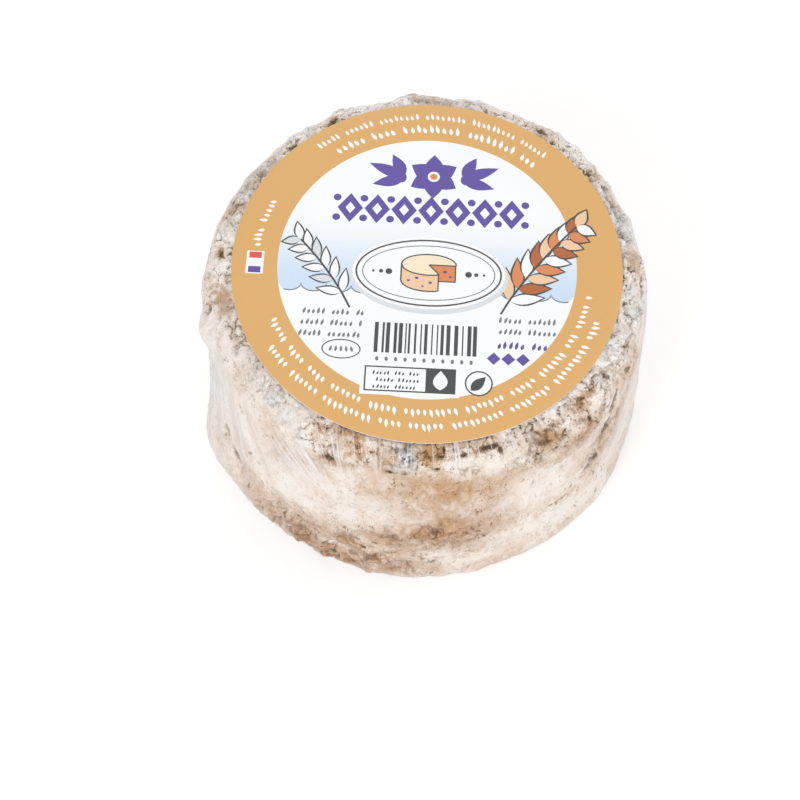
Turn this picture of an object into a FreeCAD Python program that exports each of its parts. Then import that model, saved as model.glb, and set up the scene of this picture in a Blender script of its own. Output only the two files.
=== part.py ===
"""A small wheel of blue goat's cheese, shrink-wrapped in clear film, with a round paper label on top.

Two pieces: the wrapped wheel, one solid out to the film, and the die-cut label stuck on its top face.
Millimetres, +Z up. The origin is the middle of the flat face that the wheel rests on, and -Y is its
front, the side that the label is read from. Angles are seen from above, from +X towards +Y.
"""

import FreeCAD, Part
import math
import os

import Sketcher
from FreeCAD import Placement, Rotation, Vector

doc = FreeCAD.newDocument("goat_cheese")

# ---------------------------------------------------------------- driving dimensions
# Each row of the sheet: the cell's alias, its value in millimetres or degrees, and what it is.
SIZES = [
    ("wheel_height", 44.1, "rest face to the film's flat top"),
    ("shoulder_diameter", 73.3, "across the wall just under the shoulder"),
    ("foot_diameter", 76.7, "across the wall just over the foot, where the soft curd has spread"),
    ("shoulder_radius", 7.8, "rounding between the top and the wall"),
    ("foot_radius", 4.4, "rounding between the wall and the rest face"),
    ("wall_belly", 0.3, "how far the wall bows out at mid height"),
    ("oval", 0.15, "how far the wheel is out of round, as an oval"),
    ("oval_angle", 40.0, "where the oval is widest"),
    ("trefoil", 0.15, "how far it is out of round, in three lobes"),
    ("trefoil_angle", 73.0, "where one of the three lobes is"),
    ("ripple", 0.18, "height of the soft waves around the wall"),
    ("ripple_angle", 10.0, "where one of the waves crests"),
    ("swelling", 1.7, "how far the foot bulges at the left of the front"),
    ("swelling_angle", 204.0, "where that bulge is"),
    ("swelling_spread", 9.0, "half width of the bulge, as an angle"),
    ("hollow", 1.4, "depth of the hollow in the wall above the bulge"),
    ("hollow_angle", 187.0, "where that hollow is"),
    ("hollow_spread", 10.5, "half width of the hollow, as an angle"),
    ("label_diameter", 63.0, "the die-cut paper label"),
    ("label_thickness", 0.15, "paper and adhesive"),
    ("label_ease", 2.0, "how much wider the label's rim bends than the shoulder under it"),
    ("label_margin", 0.2, "how far the label stays flat past the wheel's flat top"),
    ("label_shift", 0.2, "how far the label sits in front of the wheel's centre"),
]

sheet = doc.addObject("Spreadsheet::Sheet", "Sizes")
for row, (alias, value, meaning) in enumerate(SIZES, start=1):
    sheet.set(f"A{row}", alias)
    sheet.set(f"B{row}", str(value))
    sheet.setAlias(f"B{row}", alias)
    sheet.set(f"C{row}", meaning)
doc.recompute()


def size(alias):
    """The value in the cell with that alias."""
    return float(sheet.get(alias))


# ---------------------------------------------------------------- the wrapped wheel
# The film is shrunk tight on the rind, so rind and film are one outer surface: an uneven drum, lofted
# through closed rings. Their radii follow the wheel's section up from the rest face to the flat top.
POINTS_AROUND = 60
WALL_STATIONS = 5
ARC_STEPS = 3
RIPPLES = 7
SWELLING_LEVEL = 0.19  # where the bulge is, and how far it reaches up and down, as shares of the height
SWELLING_REACH = 0.24
HOLLOW_LEVEL = 0.45
HOLLOW_REACH = 0.22


def section_stations():
    """Pairs of radius and height up the wheel's section, from the rest face to the flat top."""
    foot, shoulder = size("foot_radius"), size("shoulder_radius")
    height = size("wheel_height")
    low, high = size("foot_diameter") / 2, size("shoulder_diameter") / 2
    stations = []
    for step in range(ARC_STEPS):
        turn = math.radians(90 * step / ARC_STEPS)
        stations.append((low - foot + foot * math.sin(turn), foot - foot * math.cos(turn)))
    for step in range(WALL_STATIONS):
        share = step / (WALL_STATIONS - 1)
        bow = size("wall_belly") * 4 * share * (1 - share)
        level = foot + (height - shoulder - foot) * share
        stations.append((low + (high - low) * share + bow, level))
    for step in range(1, ARC_STEPS + 1):
        turn = math.radians(90 * step / ARC_STEPS)
        inset, drop = shoulder - shoulder * math.cos(turn), shoulder - shoulder * math.sin(turn)
        stations.append((high - inset, height - drop))
    return stations


def hump(distance, reach):
    """A bell of height 1 at distance 0, down to a third at one reach."""
    return math.exp(-((distance / reach) ** 2))


def degrees_apart(first, second):
    """The angle between two directions, from 0 to 180."""
    return abs((first - second + 180) % 360 - 180)


def unevenness(angle, level):
    """How far the film stands out of the even drum, at an angle in degrees and a level from 0 to 1."""
    out = size("oval") * math.cos(math.radians(2 * (angle - size("oval_angle"))))
    out += size("trefoil") * math.cos(math.radians(3 * (angle - size("trefoil_angle"))))
    wave = math.cos(math.radians(RIPPLES * (angle - size("ripple_angle"))))
    out += size("ripple") * wave * math.sin(math.pi * level)
    out += (
        size("swelling")
        * hump(degrees_apart(angle, size("swelling_angle")), size("swelling_spread"))
        * hump(level - SWELLING_LEVEL, SWELLING_REACH)
    )
    out -= (
        size("hollow")
        * hump(degrees_apart(angle, size("hollow_angle")), size("hollow_spread"))
        * hump(level - HOLLOW_LEVEL, HOLLOW_REACH)
    )
    return out


def ring(radius, height):
    """One closed ring of the drum, as a wire of one smooth curve."""
    level = height / size("wheel_height")
    points = []
    for step in range(POINTS_AROUND):
        angle = 360 * step / POINTS_AROUND
        reach = radius + unevenness(angle, level)
        turn = math.radians(angle)
        points.append(Vector(reach * math.cos(turn), reach * math.sin(turn), height))
    curve = Part.BSplineCurve()
    curve.interpolate(points, PeriodicFlag=True)
    return Part.Wire(curve.toShape())


def make_wheel():
    """The cheese with its film: a smooth loft through the rings, flat at the rest face and on top."""
    wheel = doc.addObject("Part::Feature", "wrapped_cheese")
    wheel.Label = "wrapped_cheese"
    solid = Part.makeLoft([ring(radius, height) for radius, height in section_stations()], True, False)
    wheel.Shape = solid
    wheel.Placement = Placement(Vector(0, 0, 0), Rotation())
    return wheel


# ---------------------------------------------------------------- the label
# A paper sheet that bends down over the shoulder, cut out by a round die. It is flat out to just past the
# wheel's flat top, and bends less tightly than the shoulder, so its rim stands clear of the film.
FLAT_REACH = (
    "Sizes.shoulder_diameter / 2 - Sizes.shoulder_radius"
    " + Sizes.oval + Sizes.trefoil + Sizes.label_shift + Sizes.label_margin"
)
BEND_RADIUS = "Sizes.shoulder_radius + Sizes.label_ease"
BEND_TURN = 75.0  # degrees that the sheet bends through before the die cuts it
DIE_HEIGHT = 40.0


def draw_sheet_section(sketch, flat, bend, thick):
    """Six edges: along the underside, down the bend, across the end, back over the top, down the axis."""
    centre = Vector(flat, -bend, 0)
    low, high = math.radians(90 - BEND_TURN), math.radians(90)
    slant = Vector(math.cos(low), math.sin(low), 0)
    under_end, over_end = centre + slant * bend, centre + slant * (bend + thick)
    normal = Vector(0, 0, 1)
    sketch.addGeometry(Part.LineSegment(Vector(0, 0, 0), Vector(flat, 0, 0)))
    sketch.addGeometry(Part.ArcOfCircle(Part.Circle(centre, normal, bend), low, high))
    sketch.addGeometry(Part.LineSegment(under_end, over_end))
    sketch.addGeometry(Part.ArcOfCircle(Part.Circle(centre, normal, bend + thick), low, high))
    sketch.addGeometry(Part.LineSegment(Vector(flat, thick, 0), Vector(0, thick, 0)))
    sketch.addGeometry(Part.LineSegment(Vector(0, thick, 0), Vector(0, 0, 0)))


def constrain_sheet_section(sketch, flat, bend, thick):
    """Closes the six edges and ties them to the sizes."""
    underside, bend_under, end, bend_over, top, axis = range(6)
    start, finish, centre = 1, 2, 3
    joins = [
        (underside, finish, bend_under, finish),
        (bend_under, start, end, start),
        (end, finish, bend_over, start),
        (bend_over, finish, top, start),
        (top, finish, axis, start),
        (axis, finish, underside, start),
        (underside, start, -1, 1),
        (bend_under, centre, bend_over, centre),
    ]
    for first, first_point, second, second_point in joins:
        sketch.addConstraint(Sketcher.Constraint("Coincident", first, first_point, second, second_point))
    sketch.addConstraint(Sketcher.Constraint("Horizontal", underside))
    sketch.addConstraint(Sketcher.Constraint("Horizontal", top))
    sketch.addConstraint(Sketcher.Constraint("Vertical", axis))
    sketch.addConstraint(Sketcher.Constraint("Vertical", underside, finish, bend_under, centre))
    sketch.addConstraint(Sketcher.Constraint("Vertical", top, start, bend_over, centre))
    sketch.addConstraint(Sketcher.Constraint("Angle", end, math.radians(90 - BEND_TURN)))
    reach = Sketcher.Constraint("DistanceX", underside, start, underside, finish, flat)
    depth = Sketcher.Constraint("DistanceY", axis, finish, axis, start, thick)
    radius = Sketcher.Constraint("Radius", bend_under, bend)
    sizes = [
        ("flat_reach", reach, FLAT_REACH),
        ("thickness", depth, "Sizes.label_thickness"),
        ("bend_radius", radius, BEND_RADIUS),
    ]
    for name, constraint, source in sizes:
        index = sketch.addConstraint(constraint)
        sketch.renameConstraint(index, name)
        sketch.setExpression(f"Constraints.{name}", source)


def make_label():
    """The round label: what the bending sheet and the die's cylinder have in common."""
    body = doc.addObject("PartDesign::Body", "LabelSheet")
    sketch = body.newObject("Sketcher::SketchObject", "SheetSection")
    upright = next(plane for plane in body.Origin.OriginFeatures if plane.Role == "XZ_Plane")
    sketch.AttachmentSupport = (upright, [""])
    sketch.MapMode = "FlatFace"
    sizes = (sheet.evalExpression(FLAT_REACH), sheet.evalExpression(BEND_RADIUS), size("label_thickness"))
    draw_sheet_section(sketch, *sizes)
    constrain_sheet_section(sketch, *sizes)
    doc.recompute()
    turned = body.newObject("PartDesign::Revolution", "SheetTurned")
    turned.Profile = sketch
    turned.ReferenceAxis = (sketch, ["V_Axis"])
    turned.Angle = 360
    doc.recompute()

    die = doc.addObject("Part::Cylinder", "RoundDie")
    die.setExpression("Radius", "Sizes.label_diameter / 2")
    die.Height = DIE_HEIGHT
    die.Placement = Placement(Vector(0, 0, -DIE_HEIGHT / 2), Rotation())

    label = doc.addObject("Part::Common", "label")
    label.Label = "label"
    label.Base = body
    label.Tool = die
    label.setExpression("Placement.Base.y", "-Sizes.label_shift")
    label.setExpression("Placement.Base.z", "Sizes.wheel_height")
    return label


# ---------------------------------------------------------------- build, check and write
def check(objects):
    """Stops on a failed object or on a sub-part that isn't one valid, closed solid."""
    for item in doc.Objects:
        if "Invalid" in item.State or "Error" in item.State:
            raise RuntimeError(f"{item.Name} failed: {item.State}")
    for item in objects:
        shape = item.Shape
        if shape.isNull() or not shape.isValid() or len(shape.Solids) != 1:
            raise RuntimeError(f"{item.Label} is not one valid solid")
        box = shape.BoundBox
        spans = [round(length, 3) for length in (box.XLength, box.YLength, box.ZLength)]
        print(item.Label, "volume", round(shape.Volume, 2), "box", spans, "low z", round(box.ZMin, 4))


parts = [make_wheel(), make_label()]
doc.recompute()
check(parts)
os.makedirs("parts", exist_ok=True)
for piece in parts:
    piece.Shape.exportStep(f"parts/{piece.Label}.step")
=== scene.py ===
"""A small wheel of blue goat's cheese in clear shrink film with a round paper label, on a white table."""

import math

import bpy
import numpy as np
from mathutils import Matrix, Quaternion, Vector, noise
from mathutils.bvhtree import BVHTree
from mathutils.geometry import delaunay_2d_cdt


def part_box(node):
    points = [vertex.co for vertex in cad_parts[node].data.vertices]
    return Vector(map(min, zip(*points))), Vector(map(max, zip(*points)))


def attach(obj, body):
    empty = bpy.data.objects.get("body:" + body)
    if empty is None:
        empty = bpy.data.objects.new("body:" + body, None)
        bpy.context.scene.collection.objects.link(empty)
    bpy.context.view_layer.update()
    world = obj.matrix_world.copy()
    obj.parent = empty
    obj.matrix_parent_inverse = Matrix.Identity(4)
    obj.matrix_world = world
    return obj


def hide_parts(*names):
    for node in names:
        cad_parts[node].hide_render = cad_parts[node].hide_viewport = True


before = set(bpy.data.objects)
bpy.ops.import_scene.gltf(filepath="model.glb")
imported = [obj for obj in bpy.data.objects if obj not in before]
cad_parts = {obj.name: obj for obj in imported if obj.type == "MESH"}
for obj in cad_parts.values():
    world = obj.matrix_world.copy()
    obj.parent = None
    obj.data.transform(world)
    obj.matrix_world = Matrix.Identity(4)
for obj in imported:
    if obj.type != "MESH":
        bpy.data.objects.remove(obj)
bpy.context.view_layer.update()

# ------------------------------------------------------------------------------------ the cheese
# An uncut wheel of soft goat's curd, moulded by hand into a low drum, salted and ripened until white mould
# has grown over it. Its skin crumples into worm-like folds round the top and the shoulder. On the wall it is
# smeared and rubbed, with tan bare places, and blue mould shows where it is broken.
MM = 0.001
SHOULDER_ACROSS = 73.3
FOOT_ACROSS = 76.7
SHOULDER_ROUND = 7.8
FOOT_ROUND = 4.4
WHEEL_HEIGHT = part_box("wrapped_cheese")[1].z / MM
WALL_RADIUS = 37.0  # a middling radius, for turning angles into lengths along the wall

COLUMNS = 660
CROWN_STEP = 0.29  # spacing of the mesh's rows over the crumpled shoulder
WALL_STEP = 0.44  # and down the smoother wall
CROWN_END = 11.0
FLAT_ROWS = 7  # rows on the flat top under the label, and as many on the base
POLE_GAP = 2.5  # the innermost row's distance from the wheel's axis

RAY_TURN = 3.0  # degrees between the rays that feel for the frame's surface
RAY_ROWS = 80
RAY_DEPTH = 4.0  # how far under the even drum each ray starts


def drum_section():
    """The drum's even section from the middle of the top to the middle of the base.

    Gives four arrays: the length along the section from the edge of the flat top, the radius, the height
    and the angle that the surface faces, from 90 degrees on top to -90 underneath.
    """
    top_flat = SHOULDER_ACROSS / 2 - SHOULDER_ROUND
    base_flat = FOOT_ACROSS / 2 - FOOT_ROUND
    rows = [(0.0, WHEEL_HEIGHT, 90.0)]
    for turn in range(0, 91, 3):
        t = math.radians(turn)
        drop = SHOULDER_ROUND * (1 - math.cos(t))
        rows.append((top_flat + SHOULDER_ROUND * math.sin(t), WHEEL_HEIGHT - drop, 90 - turn))
    for turn in range(0, 91, 5):
        t = math.radians(turn)
        rows.append((base_flat + FOOT_ROUND * math.cos(t), FOOT_ROUND * (1 - math.sin(t)), -turn))
    rows.append((0.0, 0.0, -90.0))
    radius, height, facing = np.array(rows).T
    length = np.concatenate([[0.0], np.cumsum(np.hypot(np.diff(radius), np.diff(height)))])
    return length - top_flat, radius, height, facing


LENGTH, RADIUS, RISE, FACING = drum_section()
FOOT_END = LENGTH[-1] - (FOOT_ACROSS / 2 - FOOT_ROUND)


def even_drum(angle, arc):
    """Places and outward directions on the even drum, for angles in degrees and lengths down its section."""
    radius = np.interp(arc, LENGTH, RADIUS)
    height = np.interp(arc, LENGTH, RISE)
    facing = np.radians(np.interp(arc, LENGTH, FACING))
    turn = np.radians(angle)
    place = np.stack([radius * np.cos(turn), radius * np.sin(turn), height], -1)
    level = np.cos(facing)
    out = np.stack([level * np.cos(turn), level * np.sin(turn), np.sin(facing)], -1)
    return place, out


def true_offset(angle, arc):
    """How far the frame's uneven wheel stands out of the even drum, felt by rays, then spread evenly."""
    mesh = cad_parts["wrapped_cheese"].data
    skin = BVHTree.FromPolygons([v.co / MM for v in mesh.vertices], [p.vertices[:] for p in mesh.polygons])
    coarse_angle = np.arange(0, 361, RAY_TURN)
    coarse_arc = np.linspace(LENGTH[0] + 1, LENGTH[-1] - 1, RAY_ROWS)
    found = np.zeros((len(coarse_arc), len(coarse_angle)))
    for i, a in enumerate(coarse_arc):
        place, out = even_drum(coarse_angle, np.full(len(coarse_angle), a))
        for j in range(len(coarse_angle)):
            start = Vector(place[j] - out[j] * RAY_DEPTH)
            spot, _, _, reach = skin.ray_cast(start, Vector(out[j]), RAY_DEPTH * 2)
            found[i, j] = reach - RAY_DEPTH if spot is not None else 0.0
    row = np.interp(arc, coarse_arc, np.arange(len(coarse_arc)))
    column = angle / RAY_TURN
    i = np.minimum(row.astype(int), len(coarse_arc) - 2)
    j = np.minimum(column.astype(int), len(coarse_angle) - 2)
    u, v = row - i, column - j
    return (
        found[i, j] * (1 - u) * (1 - v) + found[i + 1, j] * u * (1 - v)
        + found[i, j + 1] * (1 - u) * v + found[i + 1, j + 1] * u * v
    )


def lumps(points, period, octaves=3, shift=0.0):
    """Smooth noise, from about -1 to 1, with a bump and a hollow in each period, all in millimetres."""
    flat = points.reshape(-1, 3) / period + shift
    values = [noise.fractal(p, 0.7, 2.0, octaves) for p in flat.tolist()]
    return np.array(values).reshape(points.shape[:-1])


def step_up(value, low, high):
    """0 below low, 1 above high, and smooth between."""
    t = np.clip((value - low) / (high - low), 0, 1)
    return t * t * (3 - 2 * t)


rows = np.concatenate([
    np.linspace(LENGTH[0] + POLE_GAP, -0.6, FLAT_ROWS),
    np.arange(0.0, CROWN_END, CROWN_STEP),
    np.arange(CROWN_END, FOOT_END + 1.2, WALL_STEP),
    np.linspace(FOOT_END + 2.0, LENGTH[-1] - POLE_GAP, FLAT_ROWS),
])
ARC, ANGLE = np.meshgrid(rows, np.arange(COLUMNS) * 360.0 / COLUMNS, indexing="ij")
EVEN, OUT = even_drum(ANGLE, ARC)
WHEEL = EVEN + OUT * true_offset(ANGLE, ARC)[..., None]


def blot(angle, arc, across, down, lean=0.0):
    """A soft spot on the rind: its middle, its half sizes along and down the wall in mm, and its lean."""
    along = ((ANGLE - angle + 180) % 360 - 180) * math.pi / 180 * WALL_RADIUS
    fall = ARC - arc
    turn = math.radians(lean)
    x = along * math.cos(turn) + fall * math.sin(turn)
    y = -along * math.sin(turn) + fall * math.cos(turn)
    return np.exp(-((x / across) ** 2) - (y / down) ** 2)


def blots(*spots):
    """The strongest of several soft spots, each given as blot's arguments with a strength in front."""
    return np.max([strength * blot(*place) for strength, *place in spots], axis=0)


WARP = 1.5  # how far the folds are pushed about, so that they wander like worms
warp = np.stack([lumps(EVEN, 5.0, 2, s) for s in (11.0, 23.0, 37.0)], -1)
folded = EVEN + warp * WARP
drift = lumps(EVEN, 12.0, 3, 5.0)
knobs = lumps(EVEN, 6.0, 2, 19.0)

# the crumpled crown, except where a hand has smoothed it, and the crumbly places on the wall and the foot
crown = step_up(ARC, 0.5, 2.2) * (1 - step_up(ARC + 2.2 * drift, 6.8, 9.8))
smooth = blots(
    (1.0, 291, 7, 7, 2.5), (0.7, 284, 3, 3, 1), (0.7, 273, 9, 5, 2), (0.6, 256, 10, 5, 2),
    (1.0, 220, 7, 9, 4), (0.9, 230, 5, 7, 4), (0.6, 340, 9, 6, 3), (1.0, 204, 13, 7, 5),
    (0.6, 233, 4, 3, 1.5), (0.7, 150, 9, 8, 3), (0.5, 70, 6, 6, 3), (0.6, 20, 8, 6, 3),
)
crown = crown * (1 - 0.8 * smooth)
underneath = step_up(ARC, FOOT_END - 3, FOOT_END + 2)
crumbly = blots(
    # round the crown, in front
    (1.3, 303, 8, 6, 4), (1.0, 315, 10, 5, 4), (0.7, 338, 12, 4, 6), (0.7, 248, 8, 4, 4),
    # on the wall, in front and at the left
    (0.9, 279, 29, 10, 5), (0.5, 210, 31, 2.5, 5), (0.5, 263, 31, 3, 4),
    # up the wall at the right
    (0.95, 330, 19, 10, 3.5, -50), (0.7, 321, 23, 2.5, 6),
    # round the foot, in front and at the left
    (1.3, 246, 40, 14, 6), (0.75, 251, 35, 11, 3.5, 6), (1.0, 231, 42, 6, 5), (1.1, 263, 38, 8, 7),
    # on the far side
    (0.6, 352, 47, 12, 4), (0.6, 170, 10, 6, 5), (0.8, 140, 40, 14, 5), (0.7, 85, 43, 18, 5),
    (0.6, 60, 20, 14, 6), (0.7, 20, 41, 12, 5), (0.55, 110, 22, 9, 5, 30), (0.6, 150, 18, 5, 8),
)
crumbly = np.clip(crumbly * (1.0 + 0.8 * lumps(EVEN, 6.0, 3, 41.0)), 0, 1) * (1 - underneath * 0.6)

# folds of two sizes: a crease runs wherever their noise passes through nought
fold = lumps(folded, 3.3, 2, 3.0)
small_fold = lumps(folded, 1.7, 2, 7.0)
raised = step_up(np.abs(fold), 0.0, 0.17)
small_raised = step_up(np.abs(small_fold), 0.0, 0.22)
grain = lumps(EVEN, 1.2, 2, 17.0)
DRAWN_DOWN = 0.55  # the wall's smears are longer downwards than round it
flow = np.stack([EVEN[..., 0], EVEN[..., 1], DRAWN_DOWN * ARC + 0.1 * EVEN[..., 1]], -1)
smears = lumps(flow, 2.6, 3, 29.0)

# cracks and pits through the bloom
cracks = blots(
    # round the crown, in front
    (1.0, 289, 4.5, 2.1, 0.5), (0.8, 292, 5.5, 0.5, 0.7), (0.9, 282, 5, 0.7, 0.4, -25),
    (0.8, 280, 4, 0.45, 0.4), (0.8, 277, 4, 0.25, 0.9), (0.8, 275, 7, 0.7, 0.3),
    (0.8, 276, 5, 0.9, 0.4), (0.6, 271, 6, 0.2, 0.3), (0.6, 272, 6, 0.2, 0.3), (0.8, 263, 8, 0.8, 0.35),
    (0.6, 266, 8, 0.25, 0.2), (0.6, 267, 8, 0.25, 0.2), (0.6, 269, 8, 0.25, 0.2),
    (0.6, 264, 4, 1.2, 0.5), (0.9, 328, 12, 0.55, 2.2, 30), (0.8, 304, 7.5, 1.3, 0.45),
    (0.8, 306, 9.5, 1.0, 0.4), (0.8, 301, 9, 0.9, 0.35), (0.8, 310, 8, 0.4, 1.0, 20),
    (0.7, 314, 12, 1.0, 0.35, -20), (0.7, 308, 5.5, 0.8, 0.5, 20), (0.7, 318, 9, 0.5, 1.0, 30),
    (0.7, 329, 5.5, 0.4, 1.1), (0.6, 340, 6.5, 1.3, 0.5), (0.6, 319, 5, 0.8, 0.6),
    (0.8, 247, 9, 1.5, 0.5, -20), (0.7, 193, 8, 1.0, 0.6),
    # on the wall, in front and at the left
    (0.8, 260, 33, 0.6, 0.3, 10), (0.6, 264, 29, 1.3, 1.3), (0.8, 212, 28, 0.6, 1.6, -10),
    (0.8, 216, 32, 0.6, 1.6, -20), (0.7, 286, 28, 0.5, 0.4), (0.7, 288, 31, 0.6, 0.35),
    # up the wall at the right
    (1.0, 318, 25, 0.7, 1.6, 35), (1.0, 320, 22, 0.6, 2.6, 35), (1.0, 324, 17, 0.6, 2.6, 30),
    (0.8, 331, 16, 0.45, 2.2, 25), (0.8, 326, 22, 0.45, 2.0, 40), (0.7, 309, 30, 2.2, 0.35),
    # round the foot, in front and at the left
    (0.9, 232, 41, 0.35, 0.9), (0.9, 234, 38, 0.3, 0.7), (0.7, 239, 35, 0.7, 0.4),
    (0.8, 257, 35, 0.7, 0.3, 30), (0.9, 261, 38, 1.1, 0.3), (0.8, 240, 42, 1.6, 0.5, 10),
    (0.8, 248, 42, 1.4, 0.6, -10), (0.7, 254, 42, 1.0, 0.8), (0.7, 243, 38, 1.2, 0.4),
    # on the far side
    (1.0, 57, 4.5, 1.3, 0.6), (0.9, 52, 4, 0.7, 0.5), (0.9, 37, 4.5, 0.6, 0.7),
    (0.8, 31, 4.5, 0.5, 0.5), (0.7, 45, 4, 0.9, 0.25), (0.8, 14, 4.5, 0.5, 0.4),
    (0.8, 25, 4.5, 0.8, 0.3), (0.7, 70, 4.5, 1.3, 0.3), (0.6, 3, 4, 0.4, 0.4), (0.6, 352, 4, 0.6, 0.3),
    (0.9, 122, 4, 1.4, 0.5), (0.9, 136, 4.5, 1.6, 0.5), (0.7, 150, 4.5, 0.9, 0.5),
    (0.8, 163, 5, 1.6, 0.5), (0.8, 178, 5, 0.9, 0.5), (0.7, 95, 4, 1.0, 0.4),
    (0.6, 130, 20, 0.8, 3, 20), (0.7, 75, 35, 2.2, 0.6), (0.7, 20, 12, 2.2, 0.6),
    (0.7, 105, 6, 1.6, 0.5), (0.6, 50, 38, 0.5, 1.4),
)

# long creases that the tucks of the film press into the soft wall
tucks = blots(
    (1.0, 216, 22, 0.9, 12, -9), (0.9, 207, 24, 1.0, 13, -4), (0.8, 225, 20, 0.7, 9, -22),
    (0.8, 240, 12, 0.45, 5, -37), (0.7, 237, 14, 0.45, 6, -40), (0.6, 233, 17, 0.5, 7, -35),
    (0.7, 202, 26, 0.6, 12), (0.7, 150, 24, 0.6, 12, 8), (0.7, 60, 25, 0.6, 12, -10),
    (0.6, 100, 24, 0.6, 10, 15),
)
foot_ribs = lumps(np.stack([EVEN[..., 0], EVEN[..., 1], ARC * 0.35], -1), 3.4, 2, 57.0)

# the rind's height over the frame's wheel, in millimetres, one kind of unevenness a line
BULGE = 1.5  # on the left shoulder, with a dip under it
DIP = 0.9
ridged = np.clip(crown + crumbly, 0, 1)
knobbly = blots((1.0, 80, 4, 62, 10))  # the back of the crown has the deepest folds
crown_folds = 0.36 * raised + 0.14 * small_raised + 0.40 * np.abs(fold) - 0.40
crumbs = 0.62 * raised + 0.32 * small_raised + 0.40 * np.abs(fold) - 0.68
rind_height = (
    0.30 * drift  # the wheel is moulded by hand
    + 0.58 * knobs * np.clip(0.25 + crown + 0.6 * crumbly, 0, 1)
    + 0.45 * crown * lumps(EVEN, 4.2, 2, 71.0) * knobbly
    # two humps and a notch that show over the far edge
    + 0.40 * blots((1.0, 98, 4, 3, 3), (0.8, 84, 4, 3, 3)) - 0.45 * blots((1.0, 91, 4, 2.5, 4))
    + crown * (1 + 0.6 * knobbly) * crown_folds
    + crumbly * (1 - crown) * crumbs
    + crumbly * step_up(ARC, 34, 39) * 0.9 * foot_ribs
    + BULGE * blots((1.0, 196, 10.5, 4, 2.5), (0.5, 187, 9, 5, 3)) - DIP * blots((1.0, 199, 16.5, 5, 2.6))
    + 0.13 * smears * (1 - crown)
    + 0.09 * grain * (0.4 + 0.6 * ridged)
    - 0.6 * cracks
    - 0.5 * tucks
    - 0.25  # leaves room for the film
)

# it is pressed flat under the label and under the foot
flat = np.clip(step_up(-ARC, -1.2, 0.4) + step_up(ARC, FOOT_END - 1.5, FOOT_END + 1), 0, 1)
LABEL_EDGE_ARC = 2.75  # where the label ends, along the section
under_label = 1 - step_up(ARC, LABEL_EDGE_ARC - 0.3, LABEL_EDGE_ARC + 1.2)
rind_height = np.where(under_label > 0, np.minimum(rind_height, 0.6 - 0.85 * under_label), rind_height)
rind_height = rind_height * (1 - flat) + flat * np.minimum(-0.25 + 0.15 * grain, -0.12)


def ring_mesh(name, places):
    """A closed skin through a grid of places in mm, row by row from the top, with a point at each pole."""
    count_rows, count = places.shape[:2]
    top = places[0].mean(0)
    base = places[-1].mean(0)
    points = np.concatenate([places.reshape(-1, 3), [top], [base]]) * MM
    index = np.arange(count_rows * count).reshape(count_rows, count)
    after = np.roll(index, -1, axis=1)
    quads = np.stack([index[:-1], index[1:], after[1:], after[:-1]], -1).reshape(-1, 4)
    faces = quads.tolist()
    faces += [(int(a), int(b), count_rows * count) for a, b in zip(index[0], after[0])]
    faces += [(int(b), int(a), count_rows * count + 1) for a, b in zip(index[-1], after[-1])]
    mesh = bpy.data.meshes.new(name)
    mesh.from_pydata(points.tolist(), [], faces)
    mesh.shade_smooth()
    piece = bpy.data.objects.new(name, mesh)
    bpy.context.scene.collection.objects.link(piece)
    return piece


def paint(piece, name, grid):
    """Stores a number, or a place, for each point of a ring mesh, for its material to read."""
    poles = [grid[0].mean(0), grid[-1].mean(0)]
    values = np.concatenate([grid.reshape(-1, *grid.shape[2:]), poles]).astype(np.float32).ravel()
    if grid.ndim == 3:
        piece.data.attributes.new(name, "FLOAT_VECTOR", "POINT").data.foreach_set("vector", values)
    else:
        piece.data.attributes.new(name, "FLOAT", "POINT").data.foreach_set("value", values)


cheese = ring_mesh("cheese_rind", WHEEL + OUT * rind_height[..., None])

# where the skin is bare, where the bloom is thick and white, and where blue mould shows
bare = blots(
    # round the crown, in front
    (0.85, 305, 7, 4.5, 3), (0.6, 315, 11, 4, 4), (0.9, 247, 9, 3, 1.6), (1.0, 262, 5, 3, 3),
    (0.8, 193, 5.5, 4, 3), (0.3, 205, 4, 4, 2), (0.8, 289, 4, 3, 1), (1.0, 274, 5, 3.5, 3),
    (0.7, 260, 3.5, 14, 2), (0.6, 284, 3, 8, 2), (0.7, 318, 5, 5, 2), (0.25, 335, 6, 6, 3),
    (0.9, 251, 5, 7, 3),
    # on the wall, in front and at the left
    (1.2, 276, 13, 10, 4.5), (1.0, 277, 25, 8, 6), (0.8, 272, 19, 6, 5), (0.7, 286, 23, 5, 6),
    (0.7, 264, 31, 7, 5), (0.65, 286, 31, 8, 4),
    # up the wall at the right
    (0.8, 309, 30, 3.5, 0.9, -10), (0.35, 328, 20, 8, 5, -50), (0.1, 340, 22, 6, 14),
    # round the foot, in front and at the left
    (0.7, 251, 34.5, 12, 3.5, 6), (0.6, 247, 40, 14, 6), (0.8, 249, 44, 12, 3), (0.8, 264, 38, 6, 7),
    # on the far side
    (0.7, 140, 36, 14, 7), (0.7, 85, 40, 18, 7), (0.6, 60, 20, 16, 8), (0.7, 20, 40, 12, 6),
    (0.6, 110, 20, 12, 7), (0.5, 160, 20, 8, 8), (0.6, 90, 6, 8, 3), (0.6, 150, 5, 6, 3),
    (0.9, 57, 5, 3, 2), (0.9, 36, 5, 2, 1.5), (0.8, 28, 5.5, 3, 1.5), (0.5, 14, 5, 2, 1.5),
    (0.8, 163, 5, 3, 2), (0.8, 178, 5, 2, 2), (0.6, 122, 4, 3, 1.5), (0.6, 5, 5, 3, 2),
)
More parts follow.
